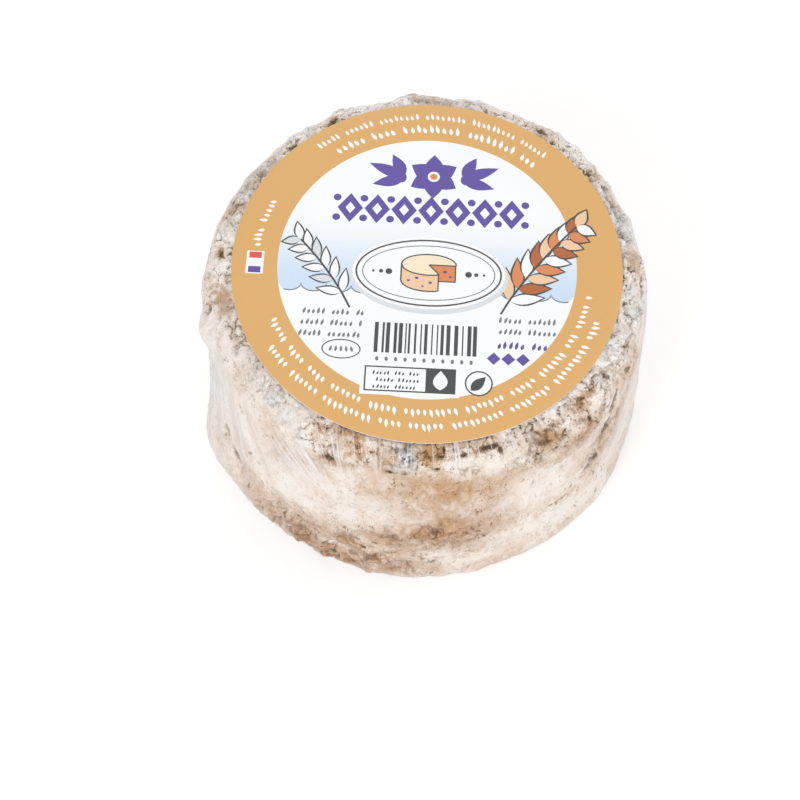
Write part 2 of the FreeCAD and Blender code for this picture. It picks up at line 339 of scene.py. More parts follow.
white = blots(
    # round the crown, in front
    (1.2, 199, 11, 5.5, 4.5), (0.6, 254, 12, 5, 2), (0.8, 291, 7.5, 6, 2), (0.8, 234, 6, 4, 3),
    # on the wall, in front and at the left
    (0.9, 299, 33, 9, 5), (1.0, 248, 18, 9, 4), (0.9, 257, 23, 7, 3.5, -20), (1.0, 236, 25, 8, 7),
    (0.9, 222, 18, 6, 6), (1.0, 207, 20, 8, 15),
    # up the wall at the right
    (1.0, 303, 22, 7, 6), (0.7, 312, 34, 8, 5), (0.6, 332, 32, 8, 5),
    # round the foot, in front and at the left
    (0.7, 274, 36, 5, 2), (0.8, 286, 39, 6, 2), (1.0, 250, 38, 3.4, 1.3),
    # on the far side
    (1.0, 180, 30, 10, 8), (1.0, 120, 32, 12, 6), (1.0, 40, 30, 12, 8), (0.9, 5, 24, 8, 8),
    (1.0, 85, 22, 10, 6),
)
blue = blots(
    (1.0, 267, 5.1, 1.7, 2.4), (0.3, 226, 5, 6, 2.5), (0.3, 336, 5, 6, 2.5), (0.3, 350, 6, 6, 2.5),
    (0.35, 150, 5, 8, 3), (0.3, 90, 5, 6, 3), (0.4, 20, 5, 8, 3),
)
for name, grid in (
    ("bare", bare), ("white", white), ("blue", blue), ("crown", crown), ("crumbly", crumbly),
    ("cracks", cracks), ("fold", fold), ("small_fold", small_fold), ("flow", flow), ("tucks", tucks),
):
    paint(cheese, name, grid)


def linear(code):
    """A colour written as sRGB hex, as the linear values that Blender works in."""
    parts = [int(code[i:i + 2], 16) / 255 for i in (1, 3, 5)]
    return [c / 12.92 if c <= 0.04045 else ((c + 0.055) / 1.055) ** 2.4 for c in parts] + [1.0]


def add(tree, kind, sockets, **settings):
    """Adds a node with its settings; sockets maps each input's name or number to a value or an output."""
    new = tree.nodes.new(kind)
    for name, value in settings.items():
        setattr(new, name, value)
    for key, value in sockets.items():
        if isinstance(value, bpy.types.NodeSocket):
            tree.links.new(value, new.inputs[key])
        else:
            new.inputs[key].default_value = value
    return new


MIX_A, MIX_B, MIX_OUT = 6, 7, 2  # a Mix node's colour sockets


def rind_material():
    """Mould-ripened goat's cheese rind: dry, velvety white bloom over bare tan skin, dark in its creases
    with its own olive brown and with painted shade.

    Every period is in millimetres. The finest speckle stands for the mould's down, and is drawn coarser, at
    about half a millimetre.
    """
    material = bpy.data.materials.new("mould_ripened_rind")
    material.use_nodes = True
    tree = material.node_tree
    tree.nodes.clear()
    place = add(tree, "ShaderNodeTexCoord", {}).outputs["Object"]
    mm = add(tree, "ShaderNodeVectorMath", {0: place, 1: (1 / MM,) * 3}, operation="MULTIPLY").outputs[0]
    drawn = add(tree, "ShaderNodeAttribute", {}, attribute_name="flow").outputs["Vector"]

    def read(name):
        return add(tree, "ShaderNodeAttribute", {}, attribute_name=name).outputs["Fac"]

    def ramp(value, low, high, to_low=0.0, to_high=1.0):
        sockets = {0: value, 1: low, 2: high, 3: to_low, 4: to_high}
        return add(tree, "ShaderNodeMapRange", sockets, interpolation_type="SMOOTHSTEP").outputs[0]

    def work(operation, a, b=0.0, clamp=True):
        return add(tree, "ShaderNodeMath", {0: a, 1: b}, operation=operation, use_clamp=clamp).outputs[0]

    def times(share, *others):
        for other in others:
            share = work("MULTIPLY", share, other)
        return share

    def cloud(period, detail=4.0, rough=0.55, warp_by=0.0, where=mm):
        sockets = {"Vector": where, "Scale": 1 / period, "Detail": detail, "Roughness": rough}
        return add(tree, "ShaderNodeTexNoise", sockets | {"Distortion": warp_by}).outputs[0]

    def over(under, colour, share):
        sockets = {0: share, MIX_A: under, MIX_B: linear(colour)}
        return add(tree, "ShaderNodeMix", sockets, data_type="RGBA").outputs[MIX_OUT]

    def crease(value, width, wobble):
        near = work("ABSOLUTE", work("ADD", value, wobble, False), 0.0, False)
        return ramp(near, width * 0.35, width, 1.0, 0.0)

    bare, white, blue = read("bare"), read("white"), read("blue")
    crown, crumbly, cracks = read("crown"), read("crumbly"), read("cracks")
    fold, small_fold = read("fold"), read("small_fold")
    rough_skin = work("ADD", crown, crumbly)
    fine = cloud(0.55, 5, 0.72)
    wobble = ramp(cloud(0.8, 3), 0.25, 0.75, -0.12, 0.12)

    # the bloom: cream, with drifts of pink and cool grey, and ragged streaks round the wall
    base = over(linear("#F0E4D9"), "#E0C9B6", ramp(cloud(6.5, 6, 0.6, 0.3, drawn), 0.42, 0.60))
    base = over(base, "#DEDAD4", ramp(cloud(4.5, 5, 0.6, 0.5, drawn), 0.56, 0.70, 0.0, 0.7))
    base = over(base, "#D2B293", times(ramp(cloud(3.4, 5, 0.64, 0.6, drawn), 0.50, 0.62), 0.65))
    base = over(base, "#F5EDE4", times(ramp(cloud(2.0, 4, 0.62, 0.5, drawn), 0.52, 0.66), 0.7))

    # bare skin, tan on the wall and rust brown where it is broken
    base = over(base, "#D0AA88", times(bare, ramp(cloud(5.0, 5, 0.6, 0.4, drawn), 0.36, 0.56, 0.35, 0.95)))
    patchy = ramp(cloud(2.4, 7, 0.70, 0.6, drawn), 0.44, 0.58)
    base = over(base, "#BB8E60", times(work("SUBTRACT", bare, 0.06), patchy, 0.8))
    base = over(base, "#BE9A60", times(bare, ramp(cloud(1.8, 5, 0.66, 0.4, drawn), 0.55, 0.63, 0.0, 0.65)))
    base = over(base, "#AD6726", times(bare, crumbly, ramp(cloud(1.5, 6, 0.74), 0.42, 0.54), 0.9))
    olive = times(crumbly, ramp(cloud(1.8, 6, 0.72), 0.42, 0.56))
    base = over(base, "#B1946A", times(olive, work("SUBTRACT", 0.65, times(bare, 0.7))))

    # white drifts, and the pale crown with its golden stains
    drifts = times(white, 1.2, ramp(cloud(4.0, 7, 0.68, 0.8, drawn), 0.30, 0.52))
    base = over(base, "#F4ECE5", times(drifts, 0.9))
    pale = times(crown, ramp(cloud(2.2, 6, 0.72), 0.34, 0.48, 0.35, 1.0))
    base = over(base, "#FDF9F5", times(pale, work("SUBTRACT", 1.0, times(bare, 0.7))))
    stained = times(crown, ramp(cloud(3.0, 7, 0.74), 0.45, 0.55, 0.0, 0.95))
    base = over(base, "#BE9058", times(stained, work("ADD", bare, 0.16)))

    # creases of both sizes, in broken lines, fewer where the bloom is thick: the skin's own olive brown in
    # them together with painted shade
    unspoilt = ramp(white, 0.2, 0.9, 1.0, 0.3)
    gaps = ramp(cloud(3.8, 7, 0.72), 0.48, 0.56)
    small_gaps = ramp(cloud(1.7, 6, 0.74, 0.0, drawn), 0.52, 0.59)
    lines = times(crease(fold, 0.075, wobble), gaps)
    small_lines = times(crease(small_fold, 0.11, wobble), small_gaps)
    # painted shade: a broad darkening along the large creases of the rough skin
    shade = times(crease(fold, 0.24, wobble), rough_skin)
    base = over(base, "#B5894C", times(shade, unspoilt, times(gaps, 0.4)))
    # the brown of broken skin with painted shade, in the creases of the bare crumbly skin
    base = over(base, "#6E481C", times(crease(fold, 0.20, wobble), crumbly, bare, 0.9))
    crease_lines_and_shade = times(work("MAXIMUM", lines, times(small_lines, 0.95)), unspoilt)
    base = over(base, "#54370F", times(crease_lines_and_shade, work("ADD", times(rough_skin, 0.85), 0.08)))

    # wrinkles, pits, scuffs and cracks
    wrinkle = work("SUBTRACT", cloud(1.7, 5, 0.7, 0.6, drawn), 0.5, False)
    wrinkles = times(crease(wrinkle, 0.016, 0.0), ramp(cloud(3.6, 5, 0.7), 0.48, 0.55))
    base = over(base, "#86622F", times(wrinkles, unspoilt, 0.65))
    spacing = {"Vector": mm, "Scale": 1 / 0.75, "Randomness": 1.0}
    pits = add(tree, "ShaderNodeTexVoronoi", spacing).outputs["Distance"]
    pits = work("ADD", pits, ramp(fine, 0.3, 0.7, -0.08, 0.08), False)
    pits = times(ramp(pits, 0.15, 0.21, 1.0, 0.0), ramp(cloud(3.4, 6, 0.72), 0.51, 0.56))
    pitted = work("ADD", times(crown, 0.4), work("MAXIMUM", crumbly, times(bare, 0.4)))
    base = over(base, "#553710", times(pits, pitted))
    scuffs = times(ramp(cloud(0.8, 4, 0.7, 0.0, drawn), 0.575, 0.61), ramp(cloud(4.0, 5), 0.51, 0.57))
    base = over(base, "#70501F", times(scuffs, unspoilt, 0.8))
    ragged = work("ADD", cracks, ramp(cloud(0.8, 5, 0.7), 0.2, 0.8, -0.38, 0.38), False)
    base = over(base, "#94703A", ramp(ragged, 0.14, 0.36, 0.0, 0.8))
    base = over(base, "#4E3610", ramp(ragged, 0.40, 0.56))

    # blue mould, painted shade along the creases that the film's tucks press into the wall, and a fine grit
    # over all
    base = over(base, "#C9CFCF", times(blue, ramp(cloud(1.2, 4), 0.36, 0.54)))
    base = over(base, "#22282B", times(blue, ramp(cloud(0.8, 5, 0.7), 0.50, 0.55)))
    base = over(base, "#BFA691", times(read("tucks"), 0.75))
    sockets = {0: times(unspoilt, 0.22), MIX_A: base, MIX_B: fine}
    base = add(tree, "ShaderNodeMix", sockets, data_type="RGBA", blend_type="OVERLAY").outputs[MIX_OUT]

    relief = times(work("ADD", times(fine, 0.6), times(cloud(1.1, 3, 0.6), 0.4)), unspoilt)
    bump = add(tree, "ShaderNodeBump", {"Strength": 0.6, "Distance": 0.3 * MM, "Height": relief}).outputs[0]
    skin = {"Base Color": base, "Roughness": 0.85, "IOR": 1.4, "Specular IOR Level": 0.3, "Normal": bump}
    shader = add(tree, "ShaderNodeBsdfPrincipled", skin)
    add(tree, "ShaderNodeOutputMaterial", {"Surface": shader.outputs[0]})
    return material


cheese.data.materials.append(rind_material())
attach(cheese, "root")
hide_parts("wrapped_cheese")

# ------------------------------------------------------------------------------------ the film
# Clear stretch film, thirty micrometres of soft PVC, pulled tight over the wheel and welded under it. It
# bridges the creases of the rind, and has fine pleats where it is gathered round the shoulder and down the
# left side. It is drawn as one skin without thickness.
FILM_CLEAR = 0.02  # the least that the film stands off the rind
PLEAT_RISE = 0.18
TUCK_RISE = 0.35
FILM_IOR = 1.33


def shifted(grid, down, along):
    """The grid moved by whole cells; it closes on itself around the wheel and repeats its end rows."""
    padded = np.pad(grid, ((2, 2), (0, 0)), mode="edge")
    moved = padded[2 + down:2 + down + grid.shape[0]]
    return np.roll(moved, along, axis=1)


def spread(grid, pick, passes):
    """Each cell takes the highest or the lowest of itself and its neighbours, several times over."""
    for turn in range(passes):
        around = [(0, 0), (1, 0), (-1, 0), (0, 1), (0, -1)]
        if turn % 2:
            around += [(1, 1), (1, -1), (-1, 1), (-1, -1)]
        grid = pick.reduce([shifted(grid, d, a) for d, a in around])
    return grid


def soften(grid, passes):
    """A few passes of averaging with the neighbours."""
    for _ in range(passes):
        beside = shifted(grid, 1, 0) + shifted(grid, -1, 0) + shifted(grid, 0, 1) + shifted(grid, 0, -1)
        grid = 0.4 * grid + 0.15 * beside
    return grid


# the film bridges only small creases where it is tight, and broad hollows where it is slack
slack = blots(
    (1.0, 200, 15, 11, 12), (0.8, 186, 24, 8, 14), (0.6, 236, 15, 8, 7), (0.7, 288, 6, 10, 3.5),
    (0.5, 252, 7, 8, 3), (0.5, 150, 22, 12, 14), (0.5, 60, 25, 12, 12),
)
slack = np.clip(slack + underneath, 0, 1)
tight = spread(spread(rind_height, np.maximum, 2), np.minimum, 2)
loose = soften(spread(spread(rind_height, np.maximum, 9), np.minimum, 9), 4)
bridged = tight * (1 - slack) + loose * slack

# pleats run down the wall, and lean forward on the left
slant = 0.75 * np.exp(-(((ANGLE - 238) / 18) ** 2))
turned = np.radians(ANGLE) - slant * (ARC - 6) / WALL_RADIUS
spoke = np.stack([np.cos(turned), np.sin(turned), ARC * 0.0012], -1) * WALL_RADIUS
pleat = lumps(spoke, 2.8, 2, 61.0)
pleats = 1 - step_up(np.abs(pleat), 0.03, 0.22)
gathered = blots(
    (1.0, 281, 4.5, 13, 4), (1.0, 250, 7, 9, 4), (0.6, 238, 12, 9, 6), (0.2, 205, 28, 9, 14),
    (0.25, 190, 30, 8, 14), (0.3, 334, 12, 6, 8), (0.6, 160, 18, 12, 14), (0.5, 60, 10, 20, 6),
    (0.6, 20, 25, 10, 14), (0.6, 100, 30, 12, 14),
)
gathered = np.clip(gathered + 0.8 * underneath, 0, 1)
film_height = np.maximum(soften(bridged, 1), rind_height + 0.03) + FILM_CLEAR
film_height = film_height + PLEAT_RISE * pleats * gathered + TUCK_RISE * tucks

# under the label and the foot it lies nearly flat
pressed = np.minimum(film_height, -0.02 + 0.4 * (1 - under_label))
film_height = np.where(under_label > 0.5, pressed, film_height)
film_height = np.maximum(film_height, rind_height + FILM_CLEAR)
film_height = film_height * (1 - flat) + flat * (-0.03 - 0.05 * pleats)
film = ring_mesh("clear_film", WHEEL + OUT * film_height[..., None])
# where the film is milky: partly its own haze where it is slack at the left, partly painted sheen standing
# for the room reflected there
film_milk_and_sheen = blots(
    (0.8, 203, 12, 5, 4), (0.8, 198, 22, 6, 14), (0.6, 212, 18, 4, 10), (0.3, 236, 15, 7, 5),
    (0.15, 291, 7, 6, 2),
)
BESIDE_TUCK = 4  # columns from a tuck to the painted highlight on the fold next to it
film_milk_and_sheen = np.clip(film_milk_and_sheen + 0.8 * np.roll(tucks, BESIDE_TUCK, axis=1), 0, 1)
for name, grid in (("film_milk_and_sheen", film_milk_and_sheen), ("pleat", pleat), ("gathered", gathered)):
    paint(film, name, grid)


def film_material():
    """Clear PVC stretch film: it shows what is behind it, with a soft sheen. Where it is slack at the left
    it is milky, partly from its own haze and partly from painted sheen, and its pleats carry painted
    highlights as white lines.
    """
    material = bpy.data.materials.new("clear_stretch_film")
    material.use_nodes = True
    tree = material.node_tree
    tree.nodes.clear()
    place = add(tree, "ShaderNodeTexCoord", {}).outputs["Object"]
    film_milk_and_sheen, pleat, gathered = (
        add(tree, "ShaderNodeAttribute", {}, attribute_name=name).outputs["Fac"]
        for name in ("film_milk_and_sheen", "pleat", "gathered")
    )
    sockets = {"Vector": place, "Scale": 1 / (1.6 * MM), "Detail": 3.0, "Distortion": 1.0}
    crinkle = add(tree, "ShaderNodeTexNoise", sockets).outputs[0]
    sockets = {"Strength": 0.3, "Distance": 0.3 * MM, "Height": crinkle}
    bump = add(tree, "ShaderNodeBump", sockets).outputs[0]
    # painted highlights where the film is gathered: crisp white lines on the pleats and a broad soft white
    # beside them
    size = add(tree, "ShaderNodeMath", {0: pleat}, operation="ABSOLUTE").outputs[0]
    line = add(tree, "ShaderNodeMapRange", {0: size, 1: 0.01, 2: 0.08, 3: 0.60, 4: 0.0}).outputs[0]
    pleat_highlights = add(tree, "ShaderNodeMath", {0: line, 1: gathered}, operation="MULTIPLY").outputs[0]
    broad = add(tree, "ShaderNodeMapRange", {0: size, 1: 0.0, 2: 0.3, 3: 0.05, 4: 0.0}).outputs[0]
    sockets = {0: broad, 1: gathered, 2: pleat_highlights}
    pleat_highlights = add(tree, "ShaderNodeMath", sockets, operation="MULTIPLY_ADD").outputs[0]
    milk_and_sheen_share = add(tree, "ShaderNodeMapRange", {0: film_milk_and_sheen, 1: 0.0, 2: 1.0, 3: 0.0, 4: 0.6}).outputs[0]
    milk_and_sheen_share = add(tree, "ShaderNodeMath", {0: milk_and_sheen_share, 1: pleat_highlights}, operation="ADD", use_clamp=True).outputs[0]
    clear = add(tree, "ShaderNodeBsdfTransparent", {})
    milky_sheen = add(tree, "ShaderNodeBsdfDiffuse", {"Color": linear("#F9F7F5")})
    body = add(tree, "ShaderNodeMixShader", {0: milk_and_sheen_share, 1: clear.outputs[0], 2: milky_sheen.outputs[0]})
    # a thin sheet mirrors alike from both sides, so the index is turned over for the back
    inside = add(tree, "ShaderNodeNewGeometry", {}).outputs["Backfacing"]
    index = add(tree, "ShaderNodeMapRange", {0: inside, 3: FILM_IOR, 4: 1 / FILM_IOR}).outputs[0]
    mirror = add(tree, "ShaderNodeFresnel", {"IOR": index, "Normal": bump}).outputs[0]
    gloss = add(tree, "ShaderNodeBsdfGlossy", {"Color": (1, 1, 1, 1), "Roughness": 0.12, "Normal": bump})
    whole = add(tree, "ShaderNodeMixShader", {0: mirror, 1: body.outputs[0], 2: gloss.outputs[0]})
    add(tree, "ShaderNodeOutputMaterial", {"Surface": whole.outputs[0]})
    return material


film.data.materials.append(film_material())
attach(film, "root")
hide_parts("wrapped_cheese")

# ------------------------------------------------------------------------------------ the label
# A round sticker of coated white paper, offset printed and die cut, pressed on the film over the flat top.
# Its rim follows the shoulder down a little, just clear of it. The print is a tan border with rows of small
# white seeds, and a white field with purple ornament, leafy sprigs and small grey marks.
label_low, label_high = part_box("label")
LABEL_RADIUS = (label_high.x - label_low.x) / 2 / MM
LABEL_MIDDLE = ((label_low + label_high) / 2) / MM
LABEL_TOP = label_high.z / MM
PAPER_THICK = 0.15
BEND_START = 29.6  # where the rim starts to bend down, with the radius of its bend
BEND_ROUND = 9.8
FIELD_RADIUS = 24.1  # the white field inside the tan border
prints = []  # (outline, ink), in the order that they are laid down


def lay(ink, outline):
    """Prints one closed outline of (x, y) places in mm from the label's middle, turned anticlockwise."""
    pairs = zip(outline, outline[1:] + outline[:1])
    leftward = sum(a[0] * b[1] - a[1] * b[0] for a, b in pairs) > 0
    prints.append((outline if leftward else outline[::-1], ink))


def oval(x, y, wide, high, count=28):
    """An ellipse by its middle, width and height."""
    turns = np.linspace(0, 2 * math.pi, count, endpoint=False)
    return [(x + wide / 2 * math.cos(t), y + high / 2 * math.sin(t)) for t in turns]


def leaf(x, y, long, wide, turn):
    """A leaf that starts at (x, y) and points along turn."""
    c, s = math.cos(math.radians(turn)), math.sin(math.radians(turn))
    steps = np.linspace(0, 1, 9)
    edge = [(long * t, wide / 2 * math.sin(math.pi * t ** 0.8)) for t in steps]
    around = edge + [(a, -b) for a, b in edge[-2:0:-1]]
    return [(x + a * c - b * s, y + a * s + b * c) for a, b in around]


def path(points, thick):
    """A line of even thickness along some points."""
    spots = np.array(points, float)
    way = np.gradient(spots, axis=0)
    way /= np.linalg.norm(way, axis=1)[:, None]
    side = np.stack([-way[:, 1], way[:, 0]], -1) * thick / 2
    return [tuple(p) for p in np.concatenate([spots + side, (spots - side)[::-1]])]


def box(x0, y0, x1, y1):
    """An upright rectangle."""
    return [(x0, y0), (x1, y0), (x1, y1), (x0, y1)]


SEED_WIDE = 0.36  # of a seed's length
SWAY = 8  # degrees by which seeds lean one way or the other


def seed_row(ink, radius, start, end, tall, seed):
    """Small slanting seeds round the label's middle, in clusters, as fine and as close as small print."""
    pick = np.random.default_rng(seed)
    step = math.degrees(0.52 * tall + 0.18) / radius
    at, way, left = start, math.copysign(1, end - start), 5
    while (end - at) * way > step:
        at, left = at + way * step, left - 1
        if left < 0:
            left = int(pick.integers(3, 10))
            continue
        spot = radius - tall * pick.uniform(0.45, 0.55)
        c, s = math.cos(math.radians(at)), math.sin(math.radians(at))
        long = tall * pick.choice([0.75, 0.75, 1.0])
        lay(ink, leaf(spot * c, spot * s, long, SEED_WIDE * tall, at + 14 + pick.uniform(-SWAY, SWAY)))


def seed_lines(ink, x0, x1, y, drop, count, tall, seed):
    """The same in straight lines."""
    pick = np.random.default_rng(seed)
    for line in range(count):
        at, left = x0 + pick.uniform(0, 1.5), 5
        while at < x1:
            at, left = at + 0.5 * tall + 0.15, left - 1
            if left < 0:
                left = int(pick.integers(3, 9))
                continue
            foot = y - drop * line - tall / 2
            long = tall * pick.choice([0.75, 1.0])
            lay(ink, leaf(at, foot, long, SEED_WIDE * tall, 76 + pick.uniform(-SWAY, SWAY)))


# the tan border, in rings that let its rim bend smoothly, and the field
for radius in (LABEL_RADIUS, 31.1, 30.6, 30.0, BEND_START):
    lay("tan", oval(0, 0, 2 * radius, 2 * radius, count=180))
lay("white", oval(0, 0, 2 * FIELD_RADIUS, 2 * FIELD_RADIUS, count=160))

# a pale blue band across the field, which fades upwards and has a scalloped lower hem
SCALLOP = 4.0
HEM = -4.4
BAND_TOP = 9.5
hem = []
for k in range(-6, 6):
    for t in np.linspace(0, math.pi, 9)[:-1]:
        x, y = k * SCALLOP + SCALLOP / 2 - SCALLOP / 2 * math.cos(t), HEM - 1.3 * math.sin(t)
        if math.hypot(x, y) < FIELD_RADIUS - 0.15:
            hem.append((x, y))
low, high = math.asin(HEM / FIELD_RADIUS), math.asin(BAND_TOP / FIELD_RADIUS)
right = [(FIELD_RADIUS * math.cos(t), FIELD_RADIUS * math.sin(t)) for t in np.linspace(low, high, 14)]
left = [(-x, y) for x, y in reversed(right)]
across = [(x, BAND_TOP) for x in np.linspace(20.0, -20.0, 12)]
lay("sky", hem + right + across + left)
lay("grey", path(hem, 0.22))

# the rows of seeds on the border, and a small striped tab
seed_row("white", 29.0, 132, 47, 1.35, 1)
seed_row("white", 26.5, 128, 50, 1.75, 2)
seed_row("white", 27.9, 155, 176, 1.5, 3)
seed_row("white", 29.0, 212, 343, 1.5, 4)
seed_row("white", 26.6, 203, 351, 1.5, 5)
lay("white", box(-29.1, -3.0, -26.3, 1.2))
for ink, y in (("red", -0.1), ("white", -1.45), ("purple", -2.8)):
    lay(ink, box(-28.7, y, -26.7, y + 1.15))

# purple ornament: a rosette between leaves, over a row of lozenges
for turn in range(0, 360, 60):
    lay("purple", leaf(0.4, 17.0, 4.3, 3.1, turn + 30))
lay("white", oval(0.4, 17.0, 2.0, 2.0))
lay("orange", oval(0.4, 17.0, 1.2, 1.2))
for side in (1, -1):
    for out, up, length, turn in ((4.8, 17.0, 4.6, 62), (4.8, 16.8, 6.4, 22), (4.8, 16.4, 5.4, -14)):
        lay("purple", leaf(0.4 + side * out, up, length, 2.1, turn if side > 0 else 180 - turn))
    lay("purple", oval(0.4 + side * 5.3, 16.6, 1.7, 2.0))
for k in range(7):
    x = -13.0 + k * 4.4
    lay("purple", [(x - 2.1, 10.3), (x, 7.5), (x + 2.1, 10.3), (x, 13.1)])
    lay("white", [(x - 0.8, 10.3), (x, 9.2), (x + 0.8, 10.3), (x, 11.4)])
for k in range(8):
    for up in (1.9, -1.9):
        lay("purple", oval(-15.2 + k * 4.4, 10.3 + up, 1.3, 1.3))

# leafy sprigs: a large orange one on the right, which reaches over the border, and a small white one
for side, scale, count, inks in (
    (1, 1.0, 10, ("orange", "white", "rust", "peach")),
    (-1, 0.72, 7, ("white", "white", "shade", "white")),
):
    stem = []
    for t in np.linspace(0, 1, count):
        stem.append((side * (12.0 + 12.0 * t * scale), -8.4 + 17.0 * t ** 0.9 * scale + 2.0 * t * (1 - t)))
    for i in range(1, count):
        x, y = stem[i]
        for hand, length in ((1, 5.4), (-1, 5.0)):
            turn = 56 - 4 * i + hand * 44
            turn = turn if side > 0 else 180 - turn
            size = length * scale * (1.15 - 0.055 * i)
            lay("line", leaf(x, y, size + 0.4, 2.15 * scale + 0.25, turn))
            lay(inks[(i + 1 + hand) % 4], leaf(x, y, size, 1.8 * scale, turn))
    lay("line", path(stem, 0.35))

# a medallion with a double line and a shade under it, and in it a little wheel of cheese
lay("shade", oval(0.4, -1.9, 25.4, 14.2, count=48))
for ink, wide in (("white", 24.6), ("line", 23.6), ("white", 23.0), ("line", 21.4), ("white", 21.1)):
    lay(ink, oval(0.3, -1.4, wide, wide - 11.2, count=48))
DRUM_WIDE, DRUM_FLAT, DRUM_DEEP = 8.6, 3.6, 3.0
MIDDLE, BASE = 0.3, -2.9
LID = BASE + DRUM_DEEP
EDGE = MIDDLE + DRUM_WIDE / 2
CUT = 1.9  # where the missing quarter begins on the drum's front
fall = DRUM_FLAT / 2 * math.sqrt(1 - ((CUT - MIDDLE) / (DRUM_WIDE / 2)) ** 2)
for ink, more in (("line", 0.25), ("peach", 0.0)):
    lay(ink, oval(MIDDLE, BASE, DRUM_WIDE + 2 * more, DRUM_FLAT + 2 * more))
    lay(ink, box(MIDDLE - DRUM_WIDE / 2 - more, BASE, EDGE + more, LID))
lay("line", oval(MIDDLE, LID, DRUM_WIDE + 0.5, DRUM_FLAT + 0.5))
lay("cream", oval(MIDDLE, LID, DRUM_WIDE, DRUM_FLAT))
gone = [(EDGE + 0.4, LID), (EDGE + 0.4, BASE - 2.3), (CUT, BASE - 2.3)]
lay("white", [(CUT, LID - fall), (MIDDLE, LID)] + gone)
lay("orange", [(MIDDLE, LID), (EDGE, LID), (EDGE, BASE), (CUT, BASE), (CUT, LID - fall)])
for corners in (
    [(MIDDLE, LID), (EDGE, LID)], [(EDGE, LID + 0.1), (EDGE, BASE - 0.1)], [(EDGE, BASE), (CUT, BASE)],
    [(MIDDLE, LID), (CUT, LID - fall)], [(CUT, LID - fall), (CUT, BASE - fall - 0.1)],
):
    lay("line", path(corners, 0.22))
for x, y, across in (
    (-1.6, -2.4, 0.6), (-2.9, -2.9, 0.5), (0.6, -3.2, 0.6),
    (-0.6, -3.9, 0.4), (2.9, -1.1, 0.7), (3.8, -2.0, 0.5),
):
    lay("purple", oval(x, y, across, across * 0.8, count=12))
for side in (1, -1):
    for k, across in ((0, 1.1), (1, 0.7), (2, 0.45)):
        lay("line", oval(0.3 + side * (6.4 + 1.25 * k), -1.4, across, across, count=14))

# small grey marks, stripes and boxes in the lower half
seed_lines("soft_grey", -20.9, -10.4, -9.2, 2.0, 3, 1.25, 6)
seed_lines("soft_grey", 10.2, 19.8, -9.4, 2.0, 2, 1.25, 7)
seed_lines("purple", 10.4, 18.2, -13.9, 2.0, 1, 1.5, 8)
for k in range(3):
    x = 11.1 + 2.3 * k
    lay("purple", [(x - 1.1, -16.4), (x, -17.5), (x + 1.1, -16.4), (x, -15.3)])
lay("line", oval(-12.9, -15.9, 6.2, 3.5))
lay("white", oval(-12.9, -15.9, 5.8, 3.1))
for k in range(5):
    lay("soft_grey", leaf(-14.7 + 0.9 * k, -16.4, 1.1, 0.45, 75 + 8 * k))

# a row of upright bars of chance widths, dots under it, and boxes with a drop and a leaf
pick = np.random.default_rng(10)
at = -7.8
while at < 8.0:
    wide = pick.choice([0.22, 0.34, 0.5, 0.62])
    lay("line", box(at, -16.2, at + wide, -10.8))
    at += wide + pick.choice([0.26, 0.4, 0.62])
for k in range(11):
    lay("soft_grey", oval(-7.2 + k * 1.48, -17.3, 0.55, 0.8, count=10))
lay("white", box(-9.6, -23.6, 5.9, -18.3))
lay("line", box(-9.0, -23.0, 5.3, -18.6))
lay("white", box(-8.75, -22.75, 0.6, -18.85))
seed_lines("line", -8.4, -0.9, -19.7, 1.2, 3, 0.85, 11)
lay("white", leaf(2.9, -22.4, 3.4, 2.3, 90))
lay("line", oval(8.9, -20.9, 4.4, 4.4))
lay("white", oval(8.9, -20.9, 3.9, 3.9))
lay("line", leaf(7.7, -22.2, 3.4, 1.7, 48))

INKS = {
    "tan": "#E0AF6C", "white": "#FBFDFE", "sky": "#CFE3F8", "purple": "#6353A3", "grey": "#7E8388",
    "soft_grey": "#7B7F82", "line": "#484A4C", "shade": "#DDE3E7", "orange": "#E08D58", "peach": "#F4CDA8",
    "rust": "#B8683A", "cream": "#FBEBCF", "red": "#EC5B4A",
}
MESH_STEP = 1.6  # the spacing of the label's mesh between the outlines


def print_colour(ink, x, y):
    """The ink's colour at a place: only the blue band changes, from white down to pale blue."""
    colour = linear(INKS[ink])
    if ink == "sky":
        share = float(step_up(np.array(y), -5.0, 9.0))
        colour = [a + (b - a) * share for a, b in zip(colour, linear(INKS["white"]))]
    return colour


def paper_height(x, y):
    """Height of the label's face: flat, bent down at the rim, and a little wavy over the rind under it."""
    past = max(math.hypot(x, y) - BEND_START, 0.0)
    bend = BEND_ROUND - math.sqrt(BEND_ROUND ** 2 - past ** 2)
    wave = 0.05 + 0.05 * noise.noise(Vector((x / 11.0, y / 11.0, 4.0)))
    return LABEL_TOP - bend + wave


